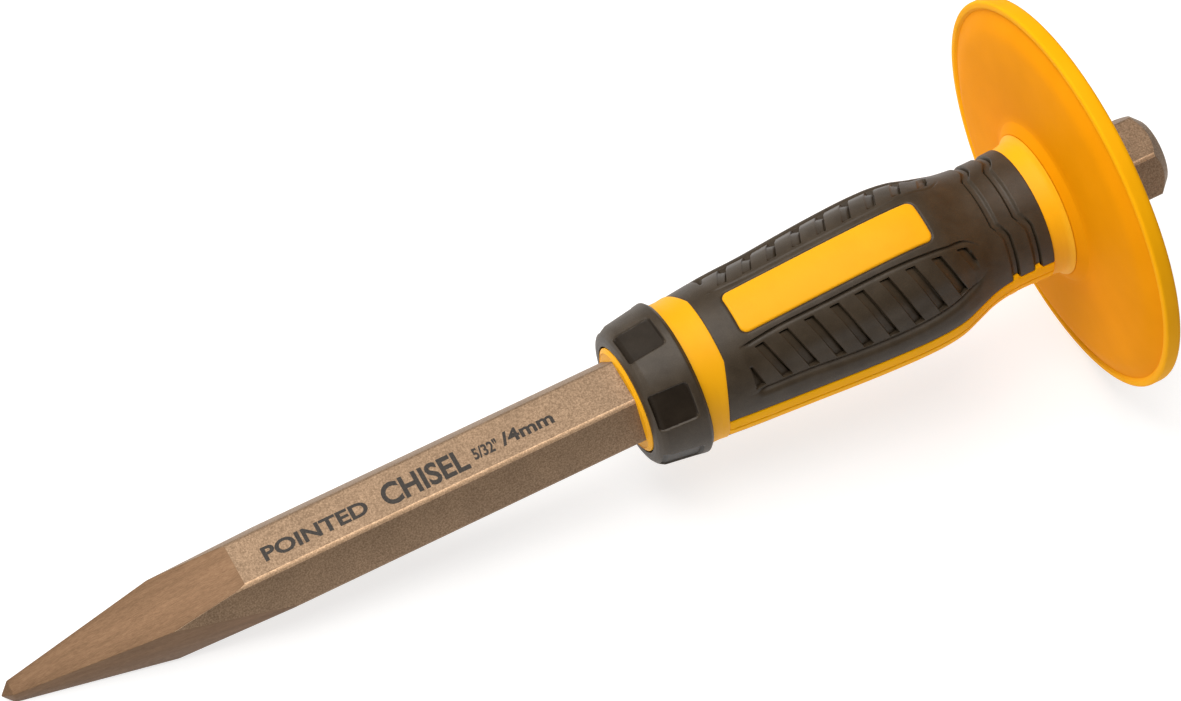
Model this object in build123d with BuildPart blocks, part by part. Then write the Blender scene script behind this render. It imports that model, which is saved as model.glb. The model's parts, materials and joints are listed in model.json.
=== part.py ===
from build123d import *
import math
import os

# A pointed cold chisel with a moulded hand guard, in millimetres.
# It is modelled along +X from the point (X = 0) to the struck head, with its label facing +Z,
# and is laid on its point and its guard at the end of the file.

# Driving dimensions: steel bar
bar_length = 300.0
bar_flats = 19.8
bar_edge_radius = 1.1
point_width = 4.0
point_height = 2.5
taper_angle = 7.95
head_face_radius = 7.8
head_chamfer_length = 3.6
head_edge_radius = 0.4

# Driving dimensions: grip core and the fit on the bar
fit_clearance = 0.06
lip_front = 158.2
lip_radius = 13.1
lip_chamfer = 0.5
core_radius = 14.4
neck_end = 268.9
neck_end_radius = 18.2
tail_radius = 14.6
neck_radius = 16.4
neck_flare = 2.2
neck_rise = 0.5
rib_top = 1.9
rib_bottom = 5.0
rib_proud = 0.3
parting_width = 0.4
parting_depth = 0.25
tab_width = 1.5
tab_reach = 1.1

# Driving dimensions: front collar
collar_front = 158.9
collar_rear = 172.2
collar_front_radius = 14.4
collar_nose = (159.4, 16.3)
collar_shoulder = (160.8, 17.6)
collar_peak_radius = 19.0
pad_count = 6
pad_angle = 30.0
pad_length = 9.4
pad_front = 159.6
pad_width = 9.4
pad_depth = 0.45
pad_corner = 1.2
collar_peak = 171.3
collar_peak_round = 0.6
collar_rear_radius = 18.3

# Driving dimensions: grip shells
shell_front = 179.5
shell_front_slant = 2.9
shell_front_flat = 8.9
shell_front_side = 17.6
shell_rear = 264.0
label_front = 186.2
label_length = 50.2
label_width = 11.4
label_corner = 1.8
label_proud = 0.25
zone_turn = 45.0
zone_depth = 0.45
slot_count = 8
slot_first = 190.6
slot_pitch = 6.64
slot_width = 2.2
slot_length = 12.8
slot_slant = 19.8
slot_depth = 1.2
groove_places = (252.1, 258.0)
groove_width = 2.2
groove_depth = 0.7
groove_jog = 1.4
groove_straight = 6.8
groove_step = 9.6

# Driving dimensions: hand guard
guard_radius = 49.9
guard_rear = 279.5
rim_round = 1.1
rim_front = 274.0
rim_rear = 278.0
guard_root = 270.8
hub_radius = 20.8

# Sides of the textured zone as (x, sideways) points on a plane turned 45 degrees from the label
zone_label_side = [(184.6, -6.4), (191.7, -7.2), (205.7, -8.0), (231.6, -8.5), (237.7, -7.6), (244.2, -5.6)]
zone_seam_side = [(244.2, 5.1), (240.3, 6.3), (230.6, 7.9), (221.2, 8.3), (199.9, 7.2), (184.6, 5.9)]

# Guard: front face from the root outward, and dished back from the rim inward, as (x, radius)
guard_front = [(guard_root, hub_radius), (271.4, 31.0), (271.9, 38.0), (272.6, 43.0), (274.3, 47.0)]
guard_back = [(276.8, 45.6), (275.1, 41.5), (274.5, 36.0), (273.9, 23.0)]
bead_groove = (274.6, 47.5)
bead_inner = 48.2
back_lip = 47.0
back_hub = [(274.5, 21.6), (guard_rear, 20.8)]

# Length that reaches past the grip on every side, for cutting bodies
clear = 40.0


# The grip's barrel: it swells toward the guard, then drops to the neck.
barrel = [
    (collar_rear, 17.55),
    (177.8, 17.65),
    (181.0, 17.95),
    (190.0, 18.7),
    (199.4, 19.4),
    (209.1, 20.15),
    (218.8, 20.75),
    (228.5, 21.05),
    (233.3, 20.9),
    (238.2, 20.2),
    (243.1, 18.6),
    (248.0, 17.0),
    (252.9, 16.25),
    (258.0, 16.15),
    (shell_rear, 16.35),
]


def barrel_round(offset):
    """A solid of revolution that follows the barrel at a radial offset."""
    with BuildPart() as body:
        with BuildSketch(Plane.XZ):
            with BuildLine():
                Spline(*[(x, r + offset) for x, r in barrel])
                Polyline(
                    (shell_rear, barrel[-1][1] + offset),
                    (shell_rear, 0),
                    (collar_rear, 0),
                    (collar_rear, barrel[0][1] + offset),
                )
            make_face()
        revolve(axis=Axis.X)
    return body.part


# ------------------------------------------------------------------ steel bar
bar_apothem = bar_flats / 2
point_half = point_width / 2
taper_run = 80.0
taper_rise = point_half + taper_run * math.tan(math.radians(taper_angle))

with BuildPart() as chisel_bar:
    with BuildSketch(Plane.YZ):
        RegularPolygon(radius=bar_apothem, side_count=6, major_radius=False)
    extrude(amount=bar_length)
    fillet(chisel_bar.edges().filter_by(Axis.X), bar_edge_radius)
    # Four ground planes form the taper and the small pyramid at its end.
    for turn in range(0, 360, 90):
        with BuildSketch(Plane.XZ.rotated((turn, 0, 0))):
            with BuildLine():
                Polyline(
                    (0, 0),
                    (point_height, point_half),
                    (point_height + taper_run, taper_rise),
                    (point_height + taper_run, clear),
                    (-clear, clear),
                    (-clear, 0),
                    close=True,
                )
            make_face()
        extrude(amount=clear, both=True, mode=Mode.SUBTRACT)
    # The struck head is turned to a cone, which leaves an arc on every flat.
    with BuildSketch(Plane.XZ):
        with BuildLine():
            Polyline(
                (bar_length - head_chamfer_length, bar_flats / math.sqrt(3)),
                (bar_length - head_chamfer_length, clear),
                (bar_length + clear, clear),
                (bar_length + clear, head_face_radius),
                (bar_length, head_face_radius),
                close=True,
            )
        make_face()
    revolve(axis=Axis.X, mode=Mode.SUBTRACT)
    fillet(chisel_bar.faces().sort_by(Axis.X)[-1].edges(), head_edge_radius)

# ------------------------------------------------------------- shells, blank
with BuildPart() as label_prism:
    with BuildSketch(Plane.XY):
        with Locations((label_front + label_length / 2, 0)):
            RectangleRounded(label_length, label_width, label_corner)
    extrude(amount=clear, both=True)

shell_body = barrel_round(0.0)
rib_middle = (rib_top - rib_bottom) / 2

with BuildPart() as shell_blank:
    add(shell_body)
    with BuildSketch(Plane.YZ):
        Circle(core_radius)
    extrude(amount=bar_length, mode=Mode.SUBTRACT)
    # The front edge is straight across the label and slants forward to the side ribs.
    with BuildSketch(Plane.XY):
        with BuildLine():
            Polyline(
                (shell_front - shell_front_slant, shell_front_side),
                (shell_front, shell_front_flat),
                (shell_front, -shell_front_flat),
                (shell_front - shell_front_slant, -shell_front_side),
                (shell_front - shell_front_slant, -clear),
                (shell_front - clear, -clear),
                (shell_front - clear, clear),
                (shell_front - shell_front_slant, clear),
                close=True,
            )
        make_face()
    extrude(amount=clear, both=True, mode=Mode.SUBTRACT)
    add(label_prism.part, mode=Mode.SUBTRACT)
    # The side ribs of the core part the two shells.
    with BuildSketch(Plane.XZ):
        with Locations(((shell_front + shell_rear) / 2, rib_middle)):
            Rectangle(shell_rear - shell_front + clear, rib_top + rib_bottom)
    extrude(amount=clear, both=True, mode=Mode.SUBTRACT)
    # Two small tabs of each rib stand into the shells at the neck grooves.
    with BuildSketch(Plane.XZ):
        for place in groove_places:
            with Locations((place + groove_jog, rib_middle)):
                Rectangle(tab_width, rib_top + rib_bottom + 2 * tab_reach)
    extrude(amount=clear, both=True, mode=Mode.SUBTRACT)

# ------------------------------------------------------------ shells, details
floor_zone = barrel_round(-zone_depth)
floor_slot = barrel_round(-slot_depth)
floor_groove = barrel_round(-groove_depth)

zone_plane = Plane.XY.rotated((-zone_turn, 0, 0))

with BuildPart() as zone_cut:
    with BuildSketch(zone_plane):
        with BuildLine():
            Spline(*zone_label_side)
            Line(zone_label_side[-1], zone_seam_side[0])
            Spline(*zone_seam_side)
            Line(zone_seam_side[-1], zone_label_side[0])
        make_face()
    extrude(amount=clear)
    add(floor_zone, mode=Mode.SUBTRACT)

with BuildPart() as slot_cut:
    with BuildSketch(zone_plane):
        for index in range(slot_count):
            with Locations(Location((slot_first + slot_pitch * index, 0, 0), (0, 0, -slot_slant))):
                Rectangle(slot_width, slot_length)
    extrude(amount=clear)
    add(floor_slot, mode=Mode.SUBTRACT)

# Two neck grooves step toward the guard between the top and the sides.
groove_route = [
    (groove_jog, -clear),
    (groove_jog, -groove_step),
    (0.0, -groove_straight),
    (0.0, groove_straight),
    (groove_jog, groove_step),
    (groove_jog, clear),
]

with BuildPart() as groove_cut:
    for place in groove_places:
        near = [(place + x - groove_width / 2, y) for x, y in groove_route]
        far = [(place + x + groove_width / 2, y) for x, y in reversed(groove_route)]
        with BuildSketch(Plane.XY):
            with BuildLine():
                Polyline(*near, *far, close=True)
            make_face()
        extrude(amount=clear, both=True)
    add(floor_groove, mode=Mode.SUBTRACT)

with BuildPart() as detail_cut:
    add(zone_cut.part)
    add(slot_cut.part)
    mirror(about=Plane.XZ)
    add(groove_cut.part)

with BuildPart() as grip_shell_upper:
    add(split(shell_blank.part, bisect_by=Plane.XY, keep=Keep.TOP))
    add(detail_cut.part, mode=Mode.SUBTRACT)

with BuildPart() as grip_shell_lower:
    add(split(shell_blank.part, bisect_by=Plane.XY, keep=Keep.BOTTOM))
    add(mirror(detail_cut.part, about=Plane.XY), mode=Mode.SUBTRACT)

# ------------------------------------------------------------------ grip core
with BuildPart() as label_boss:
    add(barrel_round(label_proud))
    add(label_prism.part, mode=Mode.INTERSECT)

with BuildPart() as side_rib:
    add(barrel_round(rib_proud))
    with BuildSketch(Plane.XZ):
        with Locations(((shell_front + shell_rear) / 2, rib_middle)):
            Rectangle(shell_rear - shell_front + shell_front_slant, rib_top + rib_bottom)
    extrude(amount=clear, both=True, mode=Mode.INTERSECT)

with BuildPart() as parting_cut:
    with BuildSketch(Plane.XZ):
        with Locations(((collar_rear + shell_rear) / 2, rib_middle)):
            Rectangle(shell_rear - collar_rear, parting_width)
    extrude(amount=clear, both=True)
    add(barrel_round(rib_proud - parting_depth), mode=Mode.SUBTRACT)

with BuildPart() as grip_core:
    add(shell_body)
    add(shell_blank.part, mode=Mode.SUBTRACT)
    add(label_boss.part)
    add(side_rib.part)
    # Front sleeve under the collar, with its lip.
    with BuildSketch(Plane.XZ):
        with BuildLine():
            Polyline(
                (collar_rear, 0),
                (lip_front, 0),
                (lip_front, lip_radius - lip_chamfer),
                (lip_front + lip_chamfer, lip_radius),
                (collar_rear, lip_radius),
                close=True,
            )
        make_face()
    revolve(axis=Axis.X)
    # Flared neck behind the shells, then the tail that carries the guard.
    with BuildSketch(Plane.XZ):
        with BuildLine():
            Spline(
                (shell_rear, neck_radius),
                (neck_end - neck_flare, neck_radius + neck_rise),
                (neck_end, neck_end_radius),
            )
            Polyline(
                (neck_end, neck_end_radius),
                (neck_end, tail_radius),
                (guard_rear, tail_radius),
                (guard_rear, 0),
                (shell_rear, 0),
                (shell_rear, neck_radius),
            )
        make_face()
    revolve(axis=Axis.X)
    add(parting_cut.part, mode=Mode.SUBTRACT)
    # Hexagonal bore, a running fit on the bar.
    with BuildSketch(Plane.YZ):
        RegularPolygon(radius=bar_apothem + fit_clearance, side_count=6, major_radius=False)
    extrude(amount=bar_length, mode=Mode.SUBTRACT)

# --------------------------------------------------------------- front collar
with BuildPart() as collar_floor:
    with BuildSketch(Plane.XZ):
        with BuildLine():
            Polyline(
                (collar_front - clear, 0),
                (collar_front - clear, collar_shoulder[1] - pad_depth),
                (collar_shoulder[0], collar_shoulder[1] - pad_depth),
                (collar_peak, collar_peak_radius - pad_depth),
                (collar_peak, 0),
                close=True,
            )
        make_face()
    revolve(axis=Axis.X)

with BuildPart() as pad_cut:
    for index in range(pad_count):
        turn = pad_angle / 2 + index * 360 / pad_count
        with BuildSketch(Plane.XY.rotated((-turn, 0, 0))):
            with Locations((pad_front + pad_length / 2, 0)):
                RectangleRounded(pad_length, pad_width, pad_corner)
        extrude(amount=clear)
    add(collar_floor.part, mode=Mode.SUBTRACT)

with BuildPart() as front_collar:
    with BuildSketch(Plane.XZ):
        with BuildLine():
            ThreePointArc((collar_front, collar_front_radius), collar_nose, collar_shoulder)
            Polyline(
                collar_shoulder,
                (collar_peak, collar_peak_radius),
                (collar_rear, collar_rear_radius),
                (collar_rear, lip_radius),
                (collar_front + lip_chamfer, lip_radius),
                (collar_front, lip_radius + lip_chamfer),
                (collar_front, collar_front_radius),
            )
        make_face()
    revolve(axis=Axis.X)
    peak = front_collar.edges().filter_by(GeomType.CIRCLE).sort_by(SortBy.RADIUS)[-1]
    fillet(peak, collar_peak_round)
    add(pad_cut.part, mode=Mode.SUBTRACT)

# ----------------------------------------------------------------- hand guard
with BuildPart() as hand_guard:
    with BuildSketch(Plane.XZ):
        with BuildLine():
            # Front face: a shallow cone that turns back toward the rim.
            Polyline((neck_end, tail_radius), (neck_end, neck_end_radius), guard_front[0])
            Spline(*guard_front)
            # Fine groove, then the rim bead.
            Polyline(
                guard_front[-1],
                bead_groove,
                (rim_front, bead_inner),
                (rim_front, guard_radius - rim_round),
            )
            RadiusArc(
                (rim_front, guard_radius - rim_round),
                (rim_front + rim_round, guard_radius),
                rim_round,
            )
            Line((rim_front + rim_round, guard_radius), (rim_rear - rim_round, guard_radius))
            RadiusArc(
                (rim_rear - rim_round, guard_radius),
                (rim_rear, guard_radius - rim_round),
                rim_round,
            )
            # Dished back, with a hub round the tail of the core.
            Polyline((rim_rear, guard_radius - rim_round), (rim_rear, back_lip), guard_back[0])
            Spline(*guard_back)
            Polyline(
                guard_back[-1],
                *back_hub,
                (guard_rear, tail_radius),
                (neck_end, tail_radius),
            )
        make_face()
    revolve(axis=Axis.X)

# ------------------------------------------------------------- resting place
# The tool lies on the lower edge of its point and on the guard's rim, point down.
run = rim_front + rim_round - point_height
rise = guard_radius - rim_round - point_half
tilt = math.degrees(math.atan2(rise, run) + math.asin(rim_round / math.hypot(run, rise)))
leaning = Location((0, 0, 0), (0, -tilt, 0))
lean_box = Compound(children=[hand_guard.part.moved(leaning), chisel_bar.part.moved(leaning)]).bounding_box()
resting = Location((-lean_box.center().X, 0, -lean_box.min.Z)) * leaning

os.makedirs("parts", exist_ok=True)

chisel_bar.part.locate(resting)
chisel_bar.part.label = "chisel_bar"
export_step(chisel_bar.part, "parts/chisel_bar.step")

grip_core.part.locate(resting)
grip_core.part.label = "grip_core"
export_step(grip_core.part, "parts/grip_core.step")

front_collar.part.locate(resting)
front_collar.part.label = "front_collar"
export_step(front_collar.part, "parts/front_collar.step")

grip_shell_upper.part.locate(resting)
grip_shell_upper.part.label = "grip_shell_upper"
export_step(grip_shell_upper.part, "parts/grip_shell_upper.step")

grip_shell_lower.part.locate(resting)
grip_shell_lower.part.label = "grip_shell_lower"
export_step(grip_shell_lower.part, "parts/grip_shell_lower.step")

hand_guard.part.locate(resting)
hand_guard.part.label = "hand_guard"
export_step(hand_guard.part, "parts/hand_guard.step")
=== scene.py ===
import json
import math

import bmesh
import bpy
import numpy as np
from mathutils import Matrix, Vector


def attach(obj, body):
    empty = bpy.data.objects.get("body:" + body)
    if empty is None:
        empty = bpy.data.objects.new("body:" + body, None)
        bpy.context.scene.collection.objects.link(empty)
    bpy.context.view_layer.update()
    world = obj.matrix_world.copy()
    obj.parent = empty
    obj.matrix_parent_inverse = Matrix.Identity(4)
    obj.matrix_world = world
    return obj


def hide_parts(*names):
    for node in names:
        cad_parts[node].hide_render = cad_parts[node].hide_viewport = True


# Looks of the guarded cold chisel. Shapes are worked out in the tool's own frame, in millimetres:
# X runs from the point (0) to the struck head, Z faces the upper label and Y is sideways. An angle
# round the tool is measured from Z toward Y, in radians.

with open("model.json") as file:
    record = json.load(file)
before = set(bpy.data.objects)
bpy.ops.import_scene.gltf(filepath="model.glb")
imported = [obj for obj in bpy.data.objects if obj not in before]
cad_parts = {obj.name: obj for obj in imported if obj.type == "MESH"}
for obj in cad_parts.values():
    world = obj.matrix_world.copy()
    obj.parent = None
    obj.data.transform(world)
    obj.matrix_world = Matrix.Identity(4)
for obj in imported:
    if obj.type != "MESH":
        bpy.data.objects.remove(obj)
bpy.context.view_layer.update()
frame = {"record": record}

# Where the tool lies in the scene, from the record's mount on the struck head
MM = 0.001
LENGTH = 300.0
head_mount = next(m for m in frame["record"]["mounts"] if m["name"] == "struck_head")
AXIS = Vector(head_mount["axis"]).normalized()
SIDE = Vector((0.0, 1.0, 0.0))
TIP = Vector(head_mount["pos_m"]) - AXIS * LENGTH * MM
TURN = Matrix((AXIS, SIDE, AXIS.cross(SIDE))).transposed()
LEAN = math.atan2(AXIS.z, AXIS.x)

# Steel bar
FLATS = 19.8
EDGE_RADIUS = 1.1
POINT_HALF = 2.0
POINT_HEIGHT = 2.5
TAPER_ANGLE = math.radians(7.95)
HEAD_FACE = 7.8
HEAD_CHAMFER = 3.6

# Grip core and collar
BORE_HALF = FLATS / 2 + 0.06
LIP_FRONT = 158.2
LIP_RADIUS = 13.1
CORE_RADIUS = 14.4
COLLAR_FRONT = 158.9
COLLAR_REAR = 172.2
COLLAR_PEAK = 171.3
COLLAR_OUTSIDE = 15.2
PAD_COUNT = 6
PAD_MIDDLE = 164.65
PAD_HALF = 4.75
PAD_CORNER = 1.0
PAD_DEPTH = 0.45
NECK_END = 268.9
TAIL_RADIUS = 14.55
GUARD_REAR = 279.5
GUARD_RADIUS = 49.9
RIM_FRONT = 274.0
RIM_REAR = 278.0

# Shells, labels and side ribs
SHELL_FRONT = 179.5
SHELL_SLANT = 2.9
SHELL_REAR = 264.0
RIB_TOP = 2.3
RIB_BOTTOM = 5.0
RIB_PROUD = 0.3
RIB_START = 175.2
LABEL_MIDDLE = 211.3
LABEL_HALF_LENGTH = 25.1
LABEL_HALF_WIDTH = 5.7
LABEL_CORNER = 1.8
LABEL_PROUD = 0.22
GROOVES = (252.1, 258.0)
GROOVE_JOG = 1.6
TAB_HALF = 0.75
TAB_REACH = 1.1

# The grip's barrel as (x, radius), and how much flatter it is between the top and the sides
BARREL = [
    (172.2, 17.55), (177.8, 17.65), (181.0, 17.95), (190.0, 18.7), (199.4, 19.4), (209.1, 20.15),
    (218.8, 20.75), (228.5, 21.05), (233.3, 20.9), (238.2, 20.2), (243.1, 18.6), (248.0, 17.0),
    (252.9, 16.25), (258.0, 16.15), (264.0, 16.35),
]
FLAT_DEPTH = 0.55

# Edges of a textured zone as (x, degrees), and its slanted slots
ZONE_LABEL_EDGE = [(184, 25), (192, 22.4), (206, 21.3), (231, 21.1), (238, 22.9), (244, 26), (249, 42)]
ZONE_SEAM_EDGE = [
    (184, 64), (193, 64.8), (212, 68.4), (221, 68.9), (231, 67.6), (240, 63.5), (244, 60.5), (249, 48),
]
SLOT_FIRST = 190.6
SLOT_PITCH = 6.64
SLOT_HALF = 1.1
SLOT_SLOPE = 0.36
SLOT_MIDDLE = math.radians(44.4)
SLOT_RADIUS = 20.0
SLOT_LABEL_GAP = 1.9
SLOT_SEAM_GAP = 1.1


# ---------------------------------------------------------------- small tools
def curve(points, x):
    """A smooth curve through (x, value) points, read at x."""
    xs, ys = np.array(points, float).T
    slope = np.gradient(ys, xs)
    x = np.clip(x, xs[0], xs[-1])
    i = np.clip(np.searchsorted(xs, x) - 1, 0, len(xs) - 2)
    h = xs[i + 1] - xs[i]
    t = (x - xs[i]) / h
    start = ys[i] * (1 + 2 * t) * (1 - t) ** 2 + slope[i] * h * t * (1 - t) ** 2
    return start + ys[i + 1] * t * t * (3 - 2 * t) + slope[i + 1] * h * t * t * (t - 1)


def barrel(x):
    """Radius of the grip's barrel at x."""
    return curve(BARREL, x)


def ease(x):
    """Rises smoothly from 0 to 1 while x goes from 0 to 1."""
    x = np.clip(x, 0.0, 1.0)
    return x * x * (3.0 - 2.0 * x)


def rounding(distance, radius):
    """How far a rounded edge has dropped, at a distance from the edge."""
    short = np.clip(radius - distance, 0.0, radius)
    return radius - np.sqrt(radius * radius - short * short)


def outside_box(x, y, half_length, half_width, corner):
    """Distance outside a rounded rectangle round the origin, negative inside it."""
    dx = np.abs(x) - half_length + corner
    dy = np.abs(y) - half_width + corner
    inner = np.minimum(np.maximum(dx, dy), 0)
    return np.hypot(np.maximum(dx, 0), np.maximum(dy, 0)) + inner - corner


def steps(low, high, step, marks=(), near=(0.05, 0.15, 0.3, 0.5)):
    """Numbers from low to high, a step apart, closer together beside the ends and the marks."""
    special = [low, high, *[m for m in marks if low < m < high]]
    plain = np.linspace(low, high, max(2, int(round((high - low) / step)) + 1))
    values = [v for v in plain if all(abs(v - m) > near[-1] for m in special)]
    values += special + [m + s * n for m in special for n in near for s in (1, -1)]
    values = sorted(v for v in values if low <= v <= high)
    return np.array([v for i, v in enumerate(values) if i == 0 or v - values[i - 1] > 1e-3])


def polar(x, radius, angle):
    """Points of the tool frame from x, radius and angle."""
    x, radius, angle = np.broadcast_arrays(x, radius, angle)
    return np.stack([x, radius * np.sin(angle), radius * np.cos(angle)], -1)


def tube_faces(rows, columns):
    """Quads between rows of points, each row a closed loop."""
    j = np.arange(columns)
    k = (j + 1) % columns
    faces = []
    for i in range(rows - 1):
        a, b = i * columns, (i + 1) * columns
        faces += np.stack([a + j, a + k, b + k, b + j], 1).tolist()
    return faces


def loft(loops):
    """(points, faces) of a solid through closed loops of points, with flat ends."""
    rows, columns = loops.shape[:2]
    faces = tube_faces(rows, columns)
    faces.append(list(range(columns))[::-1])
    faces.append(list(range((rows - 1) * columns, rows * columns)))
    return loops.reshape(-1, 3), faces


def ring(loops):
    """(points, faces) of a ring-shaped solid, closed both ways round."""
    rows, columns = loops.shape[:2]
    faces = [[v % (rows * columns) for v in f] for f in tube_faces(rows + 1, columns)]
    return loops.reshape(-1, 3), faces


def outline(corners, step, closed=True):
    """An outline through (x, radius, rounding) corners, as an array of (x, radius)."""
    bends = []
    for i, (x, r, round_radius) in enumerate(corners):
        here = np.array([x, r], float)
        back = np.array(corners[i - 1][:2]) - here
        ahead = np.array(corners[(i + 1) % len(corners)][:2]) - here
        back_length, ahead_length = np.linalg.norm(back), np.linalg.norm(ahead)
        cosine = np.clip(back @ ahead / (back_length * ahead_length), -1, 1)
        turn = math.pi - math.acos(cosine)
        if round_radius == 0:
            bends.append(here)
            continue
        cut = min(round_radius * math.tan(turn / 2), 0.49 * back_length, 0.49 * ahead_length)
        start = here + back / back_length * cut
        end = here + ahead / ahead_length * cut
        for t in np.linspace(0, 1, 6):
            bends.append((1 - t) ** 2 * start + 2 * t * (1 - t) * here + t * t * end)
    points = []
    following = bends[1:] + bends[:1] if closed else bends[1:]
    for p, q in zip(bends, following):
        cuts = max(1, math.ceil(np.linalg.norm(q - p) / step))
        points += [p + (q - p) * k / cuts for k in range(cuts)]
    if not closed:
        points.append(bends[-1])
    return np.array(points)


def add_piece(name, solid, materials, body, nodes=(), sharp=40.0, weld=0.0):
    """Makes the mesh object of a solid given in the tool frame in mm, and ties it to its CAD body."""
    points, faces = solid
    placed = np.asarray(points) @ np.array(TURN).T * MM + np.array(TIP)
    mesh = bpy.data.meshes.new(name)
    mesh.from_pydata(placed.tolist(), [], faces)
    tidy = bmesh.new()
    tidy.from_mesh(mesh)
    if weld:
        bmesh.ops.remove_doubles(tidy, verts=tidy.verts, dist=weld * MM)
    bmesh.ops.recalc_face_normals(tidy, faces=tidy.faces)
    tidy.to_mesh(mesh)
    tidy.free()
    mesh.shade_smooth()
    mesh.set_sharp_from_angle(angle=math.radians(sharp))
    for material in materials:
        mesh.materials.append(material)
    piece = bpy.data.objects.new(name, mesh)
    bpy.context.scene.collection.objects.link(piece)
    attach(piece, body)
    if nodes:
        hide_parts(*nodes)
    return piece


def paint_faces(piece, solid, chosen):
    """Gives a piece's second material to the faces whose middles are chosen by (x, radius, angle)."""
    points, faces = solid
    x, y, z = np.array([points[face].mean(0) for face in faces]).T
    picked = chosen(x, np.hypot(y, z), np.arctan2(y, z))
    for face, second in zip(piece.data.polygons, picked):
        face.material_index = int(second)


# ---------------------------------------------------------------- steel bar
def cut_away(solid, place, normal):
    """Cuts a convex solid by a plane, keeps the side behind it and closes the hole."""
    everything = [*solid.verts, *solid.edges, *solid.faces]
    cut = bmesh.ops.bisect_plane(
        solid, geom=everything, dist=1e-5, plane_co=place, plane_no=normal, clear_outer=True
    )
    rim = [e for e in cut["geom_cut"] if isinstance(e, bmesh.types.BMEdge)]
    if len(rim) > 2:
        bmesh.ops.contextual_create(solid, geom=rim)


def soften(solid, chosen, offset, segments):
    """Rounds the chosen edges of a solid."""
    bmesh.ops.bevel(
        solid, geom=chosen, offset=offset, offset_type="OFFSET", segments=segments, profile=0.5,
        affect="EDGES", clamp_overlap=True,
    )


def bar_solid():
    """The hexagonal bar with its four-sided ground taper, small pyramid and turned head."""
    solid = bmesh.new()
    corner = FLATS / math.sqrt(3)
    turns = [math.radians(30 + 60 * k) for k in range(6)]
    near = [solid.verts.new((0, corner * math.sin(t), corner * math.cos(t))) for t in turns]
    far = [solid.verts.new((LENGTH, corner * math.sin(t), corner * math.cos(t))) for t in turns]
    solid.faces.new(near[::-1])
    solid.faces.new(far)
    for k in range(6):
        solid.faces.new((near[k], near[(k + 1) % 6], far[(k + 1) % 6], far[k]))
    long_edges = [e for e in solid.edges if abs(e.verts[0].co.x - e.verts[1].co.x) > 1]
    soften(solid, long_edges, EDGE_RADIUS * math.tan(math.radians(30)), 5)
    tip_slope = math.atan2(POINT_HALF, POINT_HEIGHT)
    for turn in range(4):
        around = Vector((0, math.sin(turn * math.pi / 2), math.cos(turn * math.pi / 2)))
        place = Vector((POINT_HEIGHT, 0, 0)) + around * POINT_HALF
        for slope in (TAPER_ANGLE, tip_slope):
            normal = around * math.cos(slope) - Vector((math.sin(slope), 0, 0))
            cut_away(solid, place, normal)
    cut_away(solid, Vector((0.18, 0, 0)), Vector((-1, 0, 0)))
    sharp = [e for e in solid.edges if e.calc_face_angle(0) > math.radians(20)]
    soften(solid, [e for e in sharp if e.verts[0].co.x < 200], 0.16, 2)
    facets = 96
    cone = math.atan2(corner - HEAD_FACE, HEAD_CHAMFER)
    for k in range(facets):
        t = 2 * math.pi * k / facets
        around = Vector((0, math.sin(t), math.cos(t)))
        place = Vector((LENGTH, 0, 0)) + around * HEAD_FACE
        cut_away(solid, place, around * math.cos(cone) + Vector((math.sin(cone), 0, 0)))
    face_edges = [e for e in solid.edges if all(v.co.x > LENGTH - 0.01 for v in e.verts)]
    soften(solid, face_edges, 0.35, 3)
    return solid


def is_ground(face):
    """True on the planes that were ground to make the point."""
    return face.calc_center_median().x < 80 and abs(face.normal.x) > 0.05


def is_painted_highlight_edge(face):
    """True on two opposite long edges, which get a paler copy of the lacquer as a painted highlight."""
    turn = math.degrees(math.atan2(face.normal.y, face.normal.z)) % 180
    return 123 < turn < 177 and abs(face.normal.x) < 0.05


def add_bar(lacquer, ground, edge_highlight_lacquer):
    """Adds the bar, with its ground planes and a painted highlight on two long edges in materials of
    their own.
    """
    solid = bar_solid()
    solid.normal_update()
    solid.faces.ensure_lookup_table()
    # Material 2 is the paler lacquer, a painted highlight on two long edges
    kinds = [1 if is_ground(f) else 2 if is_painted_highlight_edge(f) else 0 for f in solid.faces]
    solid.verts.index_update()
    points = [tuple(v.co) for v in solid.verts]
    faces = [[v.index for v in f.verts] for f in solid.faces]
    solid.free()
    piece = add_piece(
        "chisel_shank", (points, faces), [lacquer, ground, edge_highlight_lacquer], "chisel",
        ["chisel_bar"], sharp=22,
    )
    for face, kind in zip(piece.data.polygons, kinds):
        face.material_index = kind


# ---------------------------------------------------------------- hand guard
# Its front and back faces as (radius, x)
GUARD_FRONT = [(20.8, 270.8), (31.0, 271.4), (38.0, 271.9), (43.0, 272.6), (47.0, 274.3)]
GUARD_BACK = [(45.6, 276.8), (41.5, 275.1), (36.0, 274.5), (23.0, 273.9)]


def guard_solid():
    """The round guard: shallow cone in front, rim bead, dished back with a hub."""
    front = [(float(curve(GUARD_FRONT, r)), r, 0) for r in np.arange(22.0, 47.0, 1.0)]
    back = [(float(curve(GUARD_BACK[::-1], r)), r, 0) for r in np.arange(45.0, 24.0, -1.0)]
    corners = [
        (NECK_END + 0.05, TAIL_RADIUS, 0.1), (NECK_END + 0.05, 18.2, 0.5), (270.6, 20.6, 1.2), *front,
        (274.3, 47.0, 0.3), (274.6, 47.6, 0.25), (RIM_FRONT, 48.3, 0.5), (RIM_FRONT, GUARD_RADIUS, 1.1),
        (RIM_REAR, GUARD_RADIUS, 1.1), (RIM_REAR, 47.0, 0.5), (276.8, 45.6, 0.8), *back,
        (274.0, 22.6, 1.2), (274.9, 21.4, 0.8), (GUARD_REAR, 20.8, 0.5), (GUARD_REAR, TAIL_RADIUS, 0.3),
    ]
    shape = outline(corners, 0.8)
    angles = np.linspace(0, 2 * math.pi, 240, endpoint=False)
    return ring(polar(shape[None, :, 0], shape[None, :, 1], angles[:, None]))


def is_rim(x, radius, angle):
    """True on the guard's rim bead, where light is painted."""
    return radius > 47.8


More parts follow.
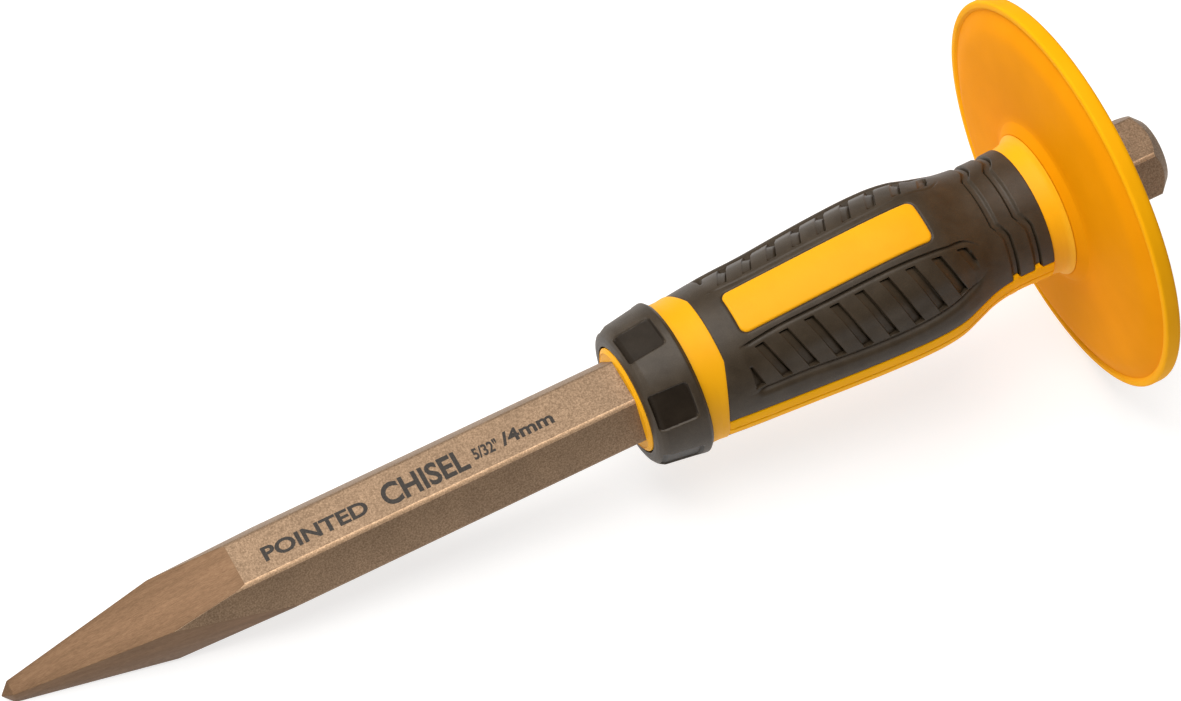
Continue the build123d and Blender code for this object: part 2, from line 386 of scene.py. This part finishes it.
def add_guard(body_yellow, rim_light_yellow):
    """Adds the guard, with painted light on its rim bead: a paler copy of the guard's yellow."""
    guard = guard_solid()
    disc = add_piece(
        "guard_disc", guard, [body_yellow, rim_light_yellow], "grip", ["hand_guard"]
    )
    paint_faces(disc, guard, is_rim)


# ---------------------------------------------------------------- collar
def collar_pads(x, angle, radius):
    """Depth of the six sunken pads round the collar; each has a flat floor."""
    sector = 2 * math.pi / PAD_COUNT
    turn = (angle - sector / 4 + sector / 2) % sector - sector / 2
    outside = outside_box(x - PAD_MIDDLE, turn * radius, PAD_HALF, PAD_HALF, PAD_CORNER)
    floor = (radius - PAD_DEPTH) * np.cos(PAD_HALF / radius) / np.cos(turn)
    return (radius - floor) * (1 - ease((outside + 0.22) / 0.4))


def is_pad(x, radius, angle):
    """True on the floor of a collar pad, where shade is painted."""
    return (radius > COLLAR_OUTSIDE) & (collar_pads(x, angle, radius + PAD_DEPTH) > 0.95 * PAD_DEPTH)


def collar_solid():
    """The ring round the front of the grip, with more points beside the edges of its pads."""
    corners = [
        (COLLAR_FRONT, 13.5, 0.1), (COLLAR_FRONT, 14.7, 0.5), (159.2, 15.9, 1.5),
        (159.95, 16.85, 1.5), (161.2, 17.6, 1.5),
        (COLLAR_PEAK, 19.05, 0.7), (COLLAR_REAR, 18.15, 0.35), (COLLAR_REAR, LIP_RADIUS + 0.3, 0.2),
        (160.2, LIP_RADIUS + 0.2, 0.2), (160.2, 13.5, 0.1),
    ]
    shape = outline(corners, 0.3)
    sector = math.degrees(2 * math.pi / PAD_COUNT)
    angles = []
    for k in range(PAD_COUNT):
        angles += (steps(0, sector, 1.6, [sector / 2], (0.25, 0.55, 0.9, 1.3)) + k * sector).tolist()[:-1]
    angles = np.radians(angles)[:, None]
    x, r = shape[None, :, 0], shape[None, :, 1]
    sunk = collar_pads(x, angles, r) * (r > COLLAR_OUTSIDE) * (x < COLLAR_REAR - 0.2)
    return ring(polar(x, r - sunk, angles))


def add_collar(rubber, pad_shade_rubber):
    """Adds the collar, with painted shade on the floors of its pads: a darker copy of the rubber."""
    collar = collar_solid()
    band = add_piece(
        "grip_front_collar", collar, [rubber, pad_shade_rubber], "grip", ["front_collar"]
    )
    paint_faces(band, collar, is_pad)


# ---------------------------------------------------------------- grip core
def front_line(angle):
    """Where the shells begin: straight across the labels, slanting forward to the ribs."""
    out = np.abs(np.sin(angle))
    return SHELL_FRONT - SHELL_SLANT * np.clip((out - 0.5) / 0.48, 0, 1)


def hexagon(angle):
    """Radius of the hexagonal bore at an angle."""
    return BORE_HALF / np.cos((angle + math.pi / 6) % (math.pi / 3) - math.pi / 6)


def sleeve_solid():
    """The core round the bar: lip, band before the shells, hidden sleeve, neck and tail."""
    angles = np.linspace(0, 2 * math.pi, 240, endpoint=False)[:, None]
    lip = [(LIP_FRONT, 12.0, 0.1), (LIP_FRONT + 0.7, LIP_RADIUS, 0.25), (171.6, LIP_RADIUS, 0)]
    band = [(171.6, 17.3, 0.1)]
    band += [(x, float(barrel(x)), 0) for x in np.arange(172.2, SHELL_FRONT, 0.6)]
    rest = [
        (SHELL_FRONT + 0.1, 17.75, 0.12), (SHELL_FRONT + 0.1, 14.3, 0), (SHELL_REAR - 0.1, 14.3, 0),
        (SHELL_REAR - 0.1, 16.1, 0.1), (266.3, 16.55, 3.0), (268.0, 17.0, 2.0), (NECK_END, 18.3, 0.3),
        (NECK_END, TAIL_RADIUS - 0.05, 0), (GUARD_REAR, TAIL_RADIUS - 0.05, 0.2), (GUARD_REAR, 12.2, 0),
    ]
    shape = outline(lip + band + rest, 1.5, closed=False)
    x, r = shape[None, :, 0], shape[None, :, 1]
    shift = (front_line(angles) - SHELL_FRONT) * ease((x - 174.0) / 5.0) * (x < SHELL_REAR - 20)
    outer = polar(x + shift * (x <= SHELL_FRONT + 1), r, angles)
    bore_x = np.array([GUARD_REAR, LIP_FRONT])[None, :]
    bore = polar(bore_x, hexagon(angles), angles)
    return ring(np.concatenate([outer, bore], axis=1))


# How many pieces a label's outline has at each corner, along each long side and across each end
BEND = 8
STRAIGHT = 40
ENDS = 8


def rounded_rectangle(half_length, half_width, corner):
    """Points of a rounded rectangle in (x, y), the same number whatever its size."""
    points = []
    along, across = half_length - corner, half_width - corner
    for sx, sy, start in ((1, 1, 0), (-1, 1, 90), (-1, -1, 180), (1, -1, 270)):
        for t in np.linspace(start, start + 90, BEND + 1):
            a = math.radians(t)
            points.append((sx * along + corner * math.cos(a), sy * across + corner * math.sin(a)))
        long_side = sx == sy
        count = STRAIGHT if long_side else ENDS
        for t in np.linspace(1, -1, count + 1)[1:-1]:
            if long_side:
                points.append((sx * along * t, sy * half_width))
            else:
                points.append((sx * half_length, sy * across * t))
    return np.array(points)


def paired_cap(start, half, ends):
    """Faces across a loop with half points on each long side and some more at each end."""
    last = 2 * half + ends - 1
    faces = [[start + i, start + i + 1, start + last - i - 1, start + last - i] for i in range(half - 1)]
    faces.append([start, *range(start + last, start + 2 * (half + ends))])
    faces.append(list(range(start + half - 1, start + half + ends + 1)))
    return faces


def label_solid(up):
    """A raised label panel that follows the barrel; up is 1 on top and -1 below."""
    insets = [0.0, 0.0, 0.04, 0.12, 0.25, 0.42, 0.62, 0.9, 1.4, 2.1, 2.9, 3.7, 4.5, 5.2]
    drops = [CORE_RADIUS, 0.9, *[float(rounding(d, 0.5)) for d in insets[2:]]]
    half, ends = 2 * (BEND + 1) + STRAIGHT - 1, ENDS - 1
    loops = []
    for inset, drop in zip(insets, drops):
        share = 1 - inset / (LABEL_HALF_WIDTH + 0.01)
        flat = rounded_rectangle(
            LABEL_HALF_LENGTH - inset, LABEL_HALF_WIDTH - inset, LABEL_CORNER * share
        )
        radius = np.maximum(barrel(flat[:, 0] + LABEL_MIDDLE) + LABEL_PROUD - drop, CORE_RADIUS)
        z = np.sqrt(radius**2 - flat[:, 1] ** 2)
        loops.append(np.stack([flat[:, 0] + LABEL_MIDDLE, flat[:, 1] * up, z * up], 1))
    columns = len(loops[0])
    faces = tube_faces(len(loops), columns)
    faces += paired_cap(0, half, ends) + paired_cap((len(loops) - 1) * columns, half, ends)
    return np.concatenate(loops), faces


def seam_height(x, edge):
    """Height of the edge between shell and rib, with the two tabs at the neck grooves."""
    reach = np.zeros_like(x)
    for place in GROOVES:
        reach = np.maximum(reach, 1 - ease((np.abs(x - place - GROOVE_JOG) - TAB_HALF + 0.15) / 0.3))
    return edge + TAB_REACH * reach


def rib_solid(out):
    """A side rib, yellow between the shells; out is 1 toward +Y and -1 toward -Y."""
    marks = [p + GROOVE_JOG + s * TAB_HALF for p in GROOVES for s in (1, -1)]
    x = steps(RIB_START, SHELL_REAR - 0.05, 0.8, marks, (0.08, 0.16, 0.3, 0.5))[:, None]
    low, high = -seam_height(x, RIB_BOTTOM) + 0.03, seam_height(x, RIB_TOP) - 0.03
    middle = (RIB_TOP - RIB_BOTTOM) / 2
    share = steps(0, 1, 0.05, [0.5], (0.012, 0.03, 0.06, 0.1))[None, :]
    height = low + (high - low) * share
    edge = np.minimum(height - low, high - height)
    proud = RIB_PROUD - rounding(edge, 0.4) - 0.28 * (1 - ease((np.abs(height - middle) - 0.05) / 0.3))
    slope = 0.12 * ease((height - middle) / (high - middle))
    rise = ease((x - RIB_START) / 2.5)
    end = rounding(SHELL_REAR - x, 0.35)
    radius = barrel(x) - 0.4 * (1 - rise) + (proud - slope) * rise - end
    y = np.sqrt(radius**2 - height**2)
    outer = np.stack(np.broadcast_arrays(x, y * out, height), -1)
    back_height = np.concatenate([high, low], 1)
    back_y = np.sqrt((CORE_RADIUS - 0.1) ** 2 - back_height**2)
    inner = np.stack(np.broadcast_arrays(x, back_y * out, back_height), -1)
    return loft(np.concatenate([outer, inner], axis=1))


# ---------------------------------------------------------------- shells
def zone_edges(x):
    """Angles of the textured zone's edges, toward the label and toward the seam."""
    return np.radians(curve(ZONE_LABEL_EDGE, x)), np.radians(curve(ZONE_SEAM_EDGE, x))


def crease(distance, half_width):
    """1 on a line and falling to 0 at half_width from it."""
    return np.clip(1 - np.abs(distance) / half_width, 0, 1)


def slot_depth(x, angle, across, from_label, from_seam):
    """Depth of the slanted slots: each falls toward the guard and ends in a steep wall."""
    slant = math.cos(math.atan(SLOT_SLOPE))
    centre = SLOT_FIRST + SLOT_SLOPE * SLOT_RADIUS * (angle - SLOT_MIDDLE)
    place = ((x - centre + SLOT_PITCH / 2) % SLOT_PITCH - SLOT_PITCH / 2) * slant
    sides = ease((place + SLOT_HALF + 0.1) / 0.2) * (1 - ease((place - SLOT_HALF + 0.08) / 0.16))
    ends = ease((from_label - SLOT_LABEL_GAP + 0.08) / 0.16)
    ends = ends * ease((from_seam - SLOT_SEAM_GAP + 0.08) / 0.16)
    # The first slot is cut to a triangle, and the last one stops half way.
    ends = ends * ease((x - 184.55) / 0.5) * (1 - ease((x - 244.3) / 0.3))
    ends = ends * (1 - ease((across - 0.45) / 0.25) * (x > 240.6))
    # The floor is deeper toward the seam, with a crease at the foot of its steep walls.
    fall = (place + SLOT_HALF) / (2 * SLOT_HALF)
    shallow = 0.1 + 0.75 * across**2
    floor = shallow + (0.75 + 0.65 * across - shallow) * fall
    foot = crease(place - SLOT_HALF + 0.2, 0.24) + crease(from_label - SLOT_LABEL_GAP - 0.16, 0.3)
    return sides * ends * (floor + 0.5 * np.minimum(foot, 1))


def zone_depth(x, angle, radius):
    """Depth of the textured zone on one side of the label, its slots included."""
    label_edge, seam_edge = zone_edges(x)
    from_label = (angle - label_edge) * radius
    from_seam = (seam_edge - angle) * radius
    across = np.clip((angle - label_edge) / (seam_edge - label_edge + 1e-6), 0, 1)
    fade = ease((x - 183.8) / 3.2) * (1 - ease((x - 240.5) / 6.5))
    inside = ease(from_label / 0.22) * ease((from_seam + 1.25) / 1.3)
    rims = 0.5 * crease(from_label - 0.35, 0.6) + 0.35 * crease(from_seam - 0.15, 0.55)
    depth = (0.34 + 0.45 * across**2 + rims) * inside * fade
    return depth + slot_depth(x, angle, across, from_label, from_seam) * (from_seam > 0)


def groove_shift(angle, radius):
    """How far the neck grooves step toward the guard at an angle."""
    return GROOVE_JOG * np.clip((np.abs(radius * np.sin(angle)) - 6.8) / 2.8, 0, 1)


def groove_depth(x, angle, radius):
    """Depth of the two neck grooves, which step toward the guard beside the labels."""
    shift = groove_shift(angle, radius)
    side = shift / GROOVE_JOG
    depth = np.zeros(np.broadcast(x, angle).shape)
    for place in GROOVES:
        d = x - place - shift
        front = ease((d + 1.2) / (0.2 + 0.7 * side))
        rear = ease((1.2 - d) / (0.9 - 0.7 * side))
        foot = crease(d + 0.95, 0.3) * (1 - side) + crease(d - 0.95, 0.3) * side
        depth = np.maximum(depth, 0.6 * front * rear + 0.6 * foot)
    return depth


def side_flat(x, angle):
    """The barrel is a little flatter between the top and the sides, where it swells most."""
    turn = np.degrees(np.abs(angle))
    swell = ease((x - 186.0) / 16.0) * (1 - ease((x - 240.0) / 12.0))
    return FLAT_DEPTH * swell * ease((turn - 42.0) / 14.0) * (1 - ease((turn - 66.0) / 14.0))


def label_dip(x, angle, radius):
    """A shallow rounded ditch round the label panel."""
    sideways = radius * np.sin(angle)
    away = outside_box(
        x - LABEL_MIDDLE, sideways, LABEL_HALF_LENGTH, LABEL_HALF_WIDTH, LABEL_CORNER
    )
    return 0.3 * (1 - ease(away / 0.45)) + 0.6 * (1 - ease((away + 0.9) / 0.5))


def shell_surface(x, angle, seam):
    """Outer radius of a shell; seam is the angle of its edge at x."""
    radius = barrel(x)
    edge = np.minimum((seam - np.abs(angle)) * radius, 5.0)
    depth = zone_depth(x, np.abs(angle), radius) + groove_depth(x, angle, radius) + side_flat(x, angle)
    depth += rounding(edge, 0.4) + label_dip(x, angle, radius)
    return radius + 0.06 - depth


def shell_solid(up, edge):
    """A rubber shell between the ribs; up is 1 on top and -1 below, edge the height of its seam."""
    # Rows lie closer together at the tabs, the slots' long walls, the label's ends and the grooves.
    marks = [p + s * TAB_HALF for p in GROOVES for s in (1, -1)]
    slant = math.cos(math.atan(SLOT_SLOPE))
    label_angle = np.radians(21.5)
    lag = SLOT_SLOPE * SLOT_RADIUS * (SLOT_MIDDLE - label_angle)
    for k in range(-1, 9):
        marks += [SLOT_FIRST + k * SLOT_PITCH - lag + s * SLOT_HALF / slant for s in (1, -1)]
    marks += [LABEL_MIDDLE + LABEL_HALF_LENGTH, LABEL_MIDDLE - LABEL_HALF_LENGTH]
    marks += [p + s * 0.95 for p in GROOVES for s in (1, -1)]
    row = steps(SHELL_FRONT, SHELL_REAR, 0.4, marks, (0.07, 0.14, 0.22, 0.36))[:, None]
    # Rows follow the neck grooves near them, the slots over the zones and the front edge ahead.
    neck = ease((row - 247.5) / 3.0) * (1 - ease((row - 259.7) / 3.6))
    weight = np.clip((row - 180.0) / 2.2, 0, 1) * np.clip((251.0 - row) / 12.0, 0, 1)
    ahead = np.clip(1 - (row - SHELL_FRONT) / 6.0, 0, 1)
    seam_row = row - SHELL_SLANT * ahead + GROOVE_JOG * neck
    seam = np.arccos(seam_height(seam_row, edge) / barrel(seam_row))
    label_edge = zone_edges(row)[0]
    far_row = row
    for _ in range(3):
        seam_edge = zone_edges(far_row)[1]
        far_row = row + SLOT_SLOPE * SLOT_RADIUS * (seam_edge - label_edge) * weight
    middle = (label_edge + seam_edge) / 2
    lines = [
        np.zeros_like(row),
        np.arcsin(LABEL_HALF_WIDTH / barrel(row)),
        label_edge,
        np.minimum(label_edge + SLOT_LABEL_GAP / barrel(row), middle - 0.01),
        np.maximum(seam_edge - SLOT_SEAM_GAP / barrel(far_row), middle + 0.01),
        seam_edge,
        seam,
    ]
    # About how far apart the lines are, in mm, which sets how many columns lie between them
    widths = [5.7, 1.9, 1.9, 12.5, 1.6, 4.0]
    parts = []
    for k, width in enumerate(widths):
        share = steps(0, width, 0.42, (), (0.07, 0.16, 0.28)) / width
        part = lines[k] + (lines[k + 1] - lines[k]) * share[None, :]
        parts.append(part if k == len(widths) - 1 else part[:, :-1])
    half = np.concatenate(parts, axis=1)
    angle = np.concatenate([-half[:, :0:-1], half], axis=1)
    inside = np.clip(np.abs(angle), label_edge, seam_edge)
    back = 1 - ease((np.abs(angle) - seam_edge) / (seam - seam_edge))
    shear = SLOT_SLOPE * SLOT_RADIUS * (inside - label_edge) * back * weight
    x = row + shear + (front_line(angle) - SHELL_FRONT) * ahead + groove_shift(angle, barrel(row)) * neck
    r = shell_surface(x, angle, seam)
    r = r - rounding(row - SHELL_FRONT, 0.35) - rounding(SHELL_REAR - row, 0.35)
    outer = polar(x, r, angle)
    picks = np.linspace(0, angle.shape[1] - 1, 24).round().astype(int)
    inner_angle = angle[:, picks]
    limit = np.arccos(seam_height(seam_row, edge) / CORE_RADIUS)
    inner_angle = inner_angle * limit / seam
    inner = polar(x[:, picks], CORE_RADIUS, inner_angle)
    return capped(outer * (1, 1, up), inner * (1, 1, up), picks)


def capped(outer, inner, picks):
    """(points, faces) of a bent sheet with an outer grid and a coarser inner one under it."""
    rows, wide, few = outer.shape[0], outer.shape[1], inner.shape[1]
    loops = np.concatenate([outer, inner[:, ::-1]], axis=1)
    columns = wide + few
    faces = tube_faces(rows, columns)
    for row in (0, rows - 1):
        start = row * columns
        for k in range(few - 1):
            top = [start + j for j in range(picks[k], picks[k + 1] + 1)]
            below = [start + columns - 1 - (k + 1), start + columns - 1 - k]
            faces.append(top + below)
    return loops.reshape(-1, 3), faces


# ---------------------------------------------------------------- materials
class Paint:
    """A node material under way: its shader, and short calls that add nodes."""

    def __init__(self, name, **values):
        self.material = bpy.data.materials.new(name)
        self.material.use_nodes = True
        self.tree = self.material.node_tree
        self.shader = self.tree.nodes["Principled BSDF"]
        for socket, value in values.items():
            self.shader.inputs[socket.replace("_", " ")].default_value = value

    def node(self, kind, **settings):
        """A new node with its settings."""
        made = self.tree.nodes.new(kind)
        for key, value in settings.items():
            setattr(made, key, value)
        return made

    def link(self, source, target):
        self.tree.links.new(source, target)

    def place(self, stretch=(1.0, 1.0, 1.0)):
        """Coordinates turned to lie along the tool, in mm, times a stretch."""
        where = self.node("ShaderNodeTexCoord").outputs["Object"]
        turned = self.node("ShaderNodeMapping")
        turned.inputs["Rotation"].default_value = (0.0, LEAN, 0.0)
        scaled = self.node("ShaderNodeMapping")
        scaled.inputs["Scale"].default_value = [s / MM for s in stretch]
        self.link(where, turned.inputs["Vector"])
        self.link(turned.outputs["Vector"], scaled.inputs["Vector"])
        return scaled.outputs["Vector"]

    def noise(self, scale, detail=2.0, rough=0.5, stretch=(1.0, 1.0, 1.0)):
        """Noise with about this many grains per mm."""
        made = self.node("ShaderNodeTexNoise")
        made.inputs["Scale"].default_value = scale
        made.inputs["Detail"].default_value = detail
        made.inputs["Roughness"].default_value = rough
        self.link(self.place(stretch), made.inputs["Vector"])
        return made.outputs["Fac"]

    def ramp(self, value, low, high, start=0.35, end=0.65):
        """A colour between low and high as value goes from start to end."""
        made = self.node("ShaderNodeValToRGB")
        first, last = made.color_ramp.elements
        first.position, last.position = start, end
        first.color, last.color = (*low, 1.0), (*high, 1.0)
        self.link(value, made.inputs["Fac"])
        return made.outputs["Color"]

    def mix(self, share, first, second, blend="MIX"):
        """Two colours blended by a share, which is a number or an output."""
        made = self.node("ShaderNodeMix", data_type="RGBA", blend_type=blend)
        if isinstance(share, float):
            made.inputs[0].default_value = share
        else:
            self.link(share, made.inputs[0])
        self.link(first, made.inputs[6])
        self.link(second, made.inputs[7])
        return made.outputs[2]

    def level(self, value, low, high, start=0.3, end=0.7):
        """A number between low and high as value goes from start to end."""
        made = self.node("ShaderNodeMapRange")
        sockets = ("From Min", "From Max", "To Min", "To Max")
        for socket, number in zip(sockets, (start, end, low, high)):
            made.inputs[socket].default_value = number
        self.link(value, made.inputs["Value"])
        return made.outputs["Result"]

    def relief(self, *layers):
        """Bump from (value, depth in mm) layers."""
        normal = None
        for value, depth in layers:
            bump = self.node("ShaderNodeBump")
            bump.inputs["Strength"].default_value = 1.0
            bump.inputs["Distance"].default_value = depth * MM
            self.link(value, bump.inputs["Height"])
            if normal is not None:
                self.link(normal, bump.inputs["Normal"])
            normal = bump.outputs["Normal"]
        self.link(normal, self.shader.inputs["Normal"])

    def finish(self, colour, roughness):
        """Links the colour and the roughness, and returns the material."""
        self.link(colour, self.shader.inputs["Base Color"])
        self.link(roughness, self.shader.inputs["Roughness"])
        return self.material


def lacquer_material(name, shade):
    """Bronze lacquer over forged steel: pebbled, with paler flecks and soft blotches."""
    paint = Paint(name, Metallic=0.5, Specular_IOR_Level=0.3)
    grains = paint.noise(2.6, 3.0, 0.6)
    blotches = paint.noise(0.12, 3.0)
    low, high = Vector((0.20, 0.128, 0.076)) * shade, Vector((0.35, 0.238, 0.150)) * shade
    flecks = paint.ramp(grains, low, high, 0.34, 0.68)
    broad = paint.ramp(blotches, (0.90, 0.89, 0.88), (1.06, 1.05, 1.04), 0.3, 0.7)
    paint.relief((grains, 0.05), (paint.noise(0.5, 2.0), 0.05))
    return paint.finish(paint.mix(1.0, flecks, broad, "MULTIPLY"), paint.level(grains, 0.6, 0.5))


def ground_material():
    """Ground steel under thin lacquer: fine scratches along the tool."""
    paint = Paint("ground_steel", Metallic=0.6, Specular_IOR_Level=0.3)
    lines = paint.noise(1.0, 4.0, 0.7, (0.12, 5.0, 5.0))
    broad = paint.noise(1.0, 3.0, 0.5, (0.03, 0.7, 0.7))
    fine = paint.ramp(lines, (0.150, 0.084, 0.044), (0.215, 0.127, 0.070), 0.3, 0.7)
    tone = paint.ramp(broad, (0.85, 0.83, 0.80), (1.06, 1.05, 1.04), 0.3, 0.7)
    paint.relief((lines, 0.02))
    return paint.finish(paint.mix(1.0, fine, tone, "MULTIPLY"), paint.level(lines, 0.58, 0.48))


def rubber_material(name, low, high, gloss):
    """Black moulded rubber, brownish, with a fine grain."""
    paint = Paint(name, Specular_IOR_Level=gloss)
    grain = paint.noise(5.0, 3.0, 0.6)
    cloud = paint.noise(0.22, 3.0)
    tone = paint.ramp(cloud, low, high, 0.3, 0.7)
    fleck = paint.ramp(grain, (0.82, 0.82, 0.82), (1.15, 1.15, 1.15), 0.35, 0.7)
    paint.relief((grain, 0.02), (cloud, 0.1))
    return paint.finish(paint.mix(1.0, tone, fleck, "MULTIPLY"), paint.level(grain, 0.52, 0.42))


def yellow_material(name, low, high, roughness, gloss):
    """Moulded yellow plastic: faint flow clouds and a fine texture."""
    paint = Paint(name, Specular_IOR_Level=gloss)
    cloud = paint.noise(0.09, 3.0)
    grain = paint.noise(3.5, 3.0, 0.6)
    paint.relief((grain, 0.012), (paint.noise(0.35, 2.0), 0.03))
    colour = paint.ramp(cloud, low, high, 0.3, 0.7)
    return paint.finish(colour, paint.level(grain, roughness + 0.05, roughness - 0.05))


def ink_material():
    """Dark brown print, a little worn."""
    paint = Paint("brown_ink", Specular_IOR_Level=0.3)
    wear = paint.noise(2.4, 3.0, 0.7)
    colour = paint.ramp(wear, (0.020, 0.015, 0.011), (0.045, 0.034, 0.026), 0.35, 0.8)
    return paint.finish(colour, paint.level(wear, 0.6, 0.48))


# ---------------------------------------------------------------- markings
# Each as (piece, text, start, end, height of its letters, lift)
MARKS = [
    ("mark_kind", "POINTED", 65.8, 92.1, 3.75, -0.7),
    ("mark_name", "CHISEL", 96.0, 117.5, 5.8, -0.45),
    ("mark_inches", "5/32\"", 119.1, 125.4, 3.1, -0.5),
    ("mark_size", "/4mm", 126.4, 139.6, 3.4, -0.25),
]


def marking(name, text, start, end, height, lift, material):
    """Plain words printed on the bar's upper flat between start and end, lift mm to one side."""
    letters = bpy.data.curves.new(name, "FONT")
    letters.body = text
    letters.size = height / 0.72
    letters.offset = height * 0.042
    letters.extrude = 0.012
    letters.resolution_u = 4
    source = bpy.data.objects.new(name + "_source", letters)
    flat = bpy.data.meshes.new_from_object(source)
    points = np.array([v.co for v in flat.vertices])
    faces = [list(f.vertices) for f in flat.polygons]
    points -= (points.max(0) + points.min(0)) / 2
    points[:, 0] *= (end - start) / np.ptp(points[:, 0])
    points[:, 1] *= height / np.ptp(points[:, 1])
    points += ((start + end) / 2, lift, FLATS / 2 + 0.012)
    bpy.data.objects.remove(source)
    bpy.data.curves.remove(letters)
    bpy.data.meshes.remove(flat)
    return add_piece(name, (points, faces), [material], "chisel", weld=0.0005)


# ---------------------------------------------------------------- the object
lacquer = lacquer_material("bronze_lacquer", 1.0)
# A paler copy of the lacquer: painted highlight for two long edges of the bar
edge_highlight_lacquer = lacquer_material("painted_highlight_lacquer", 2.1)
ground = ground_material()
rubber = rubber_material("black_rubber", (0.040, 0.027, 0.015), (0.058, 0.041, 0.025), 0.3)
# A darker copy of the rubber: painted shade for the floors of the sunken collar pads
pad_shade_rubber = rubber_material("painted_shade_rubber", (0.017, 0.011, 0.006), (0.026, 0.018, 0.011), 0.18)
yellow = yellow_material("yellow_plastic", (0.85, 0.385, 0.004), (0.91, 0.425, 0.006), 0.5, 0.15)
soft_yellow = yellow_material(
    "soft_yellow_plastic", (0.79, 0.278, 0.001), (0.83, 0.296, 0.002), 0.6, 0.02
)
# A brighter copy of the yellow: painted light on the side ribs, which face sideways
rib_light_yellow = yellow_material("rib_painted_light_yellow", (0.95, 0.44, 0.002), (0.99, 0.465, 0.003), 0.55, 0.04)
# A paler copy of the guard's yellow: painted light on the rim bead
rim_light_yellow = yellow_material("rim_painted_light_yellow", (0.88, 0.385, 0.002), (0.92, 0.41, 0.003), 0.6, 0.04)
ink = ink_material()

add_bar(lacquer, ground, edge_highlight_lacquer)
add_guard(soft_yellow, rim_light_yellow)
add_collar(rubber, pad_shade_rubber)
add_piece("grip_sleeve", sleeve_solid(), [yellow], "grip", ["grip_core"])
for name, up, edge in (("upper", 1, RIB_TOP), ("lower", -1, RIB_BOTTOM)):
    cover = "grip_shell_" + name
    add_piece("rubber_shell_" + name, shell_solid(up, edge), [rubber], "grip", [cover])
    add_piece("label_panel_" + name, label_solid(up), [yellow], "grip")
# The side ribs take the brighter yellow, painted light
for name, out in (("left", 1), ("right", -1)):
    add_piece("side_rib_" + name, rib_solid(out), [rib_light_yellow], "grip")
for name, text, start, end, height, lift in MARKS:
    marking(name, text, start, end, height, lift, ink)


# ---------------------------------------------------------------- floor, light, camera
def add_floor():
    """A flat pale floor."""
    half = 3.0
    mesh = bpy.data.meshes.new("floor")
    corners = [(-half, -half, 0), (half, -half, 0), (half, half, 0), (-half, half, 0)]
    mesh.from_pydata(corners, [], [(0, 1, 2, 3)])
    floor = bpy.data.objects.new("floor", mesh)
    bpy.context.scene.collection.objects.link(floor)
    paint = Paint("pale_floor", Specular_IOR_Level=0.0, Emission_Strength=0.74)
    paint.shader.inputs["Emission Color"].default_value = (1.0, 1.0, 1.0, 1.0)
    cloud = paint.noise(0.02, 2.0)
    colour = paint.ramp(cloud, (0.44, 0.44, 0.44), (0.46, 0.46, 0.46))
    mesh.materials.append(paint.finish(colour, paint.level(cloud, 0.8, 0.7)))


def add_light(name, direction, distance, size, power):
    """A square soft light, a little warm, that shines on the middle of the tool."""
    light = bpy.data.lights.new(name, "AREA")
    light.size = size
    light.energy = power
    light.color = (1.0, 0.985, 0.96)
    lamp = bpy.data.objects.new(name, light)
    toward = Vector(direction).normalized()
    lamp.location = Vector((0.03, 0.0, 0.05)) + toward * distance
    lamp.rotation_euler = toward.to_track_quat("Z", "Y").to_euler()
    bpy.context.scene.collection.objects.link(lamp)


def add_world(strength):
    """A dim, even, slightly warm light from all round."""
    world = bpy.data.worlds.new("studio")
    world.use_nodes = True
    background = world.node_tree.nodes["Background"]
    background.inputs["Color"].default_value = (1.0, 0.99, 0.975, 1.0)
    background.inputs["Strength"].default_value = strength
    bpy.context.scene.world = world


def add_camera():
    """A long lens above the point's side of the tool, rolled so that the tool climbs to the right."""
    azimuth, elevation, roll = (math.radians(a) for a in (-41.17, 56.70, 15.44))
    aim, distance = Vector((-0.91, 6.38, 46.76)) * MM, 1.1178
    turn = Matrix.Rotation(azimuth, 3, "Z") @ Matrix.Rotation(math.pi / 2 - elevation, 3, "X")
    turn = turn @ Matrix.Rotation(roll, 3, "Z")
    data = bpy.data.cameras.new("camera")
    data.lens = 149.4
    data.sensor_width = 36.0
    data.clip_end = 20.0
    camera = bpy.data.objects.new("camera", data)
    camera.matrix_world = Matrix.Translation(aim + turn @ Vector((0, 0, distance))) @ turn.to_4x4()
    bpy.context.scene.collection.objects.link(camera)
    bpy.context.scene.camera = camera


add_floor()
add_light("key", (-0.3, 0.42, 0.86), 1.5, 1.2, 22.0)
add_light("top", (-0.23, -0.07, 0.97), 1.4, 0.5, 6.0)
add_light("front", (-0.85, 0.1, 0.45), 1.5, 0.8, 5.6)
add_light("fill", (0.2, -0.97, 0.05), 1.4, 0.9, 0.5)
add_world(0.1)
add_camera()
bpy.context.scene.view_settings.view_transform = "Standard"
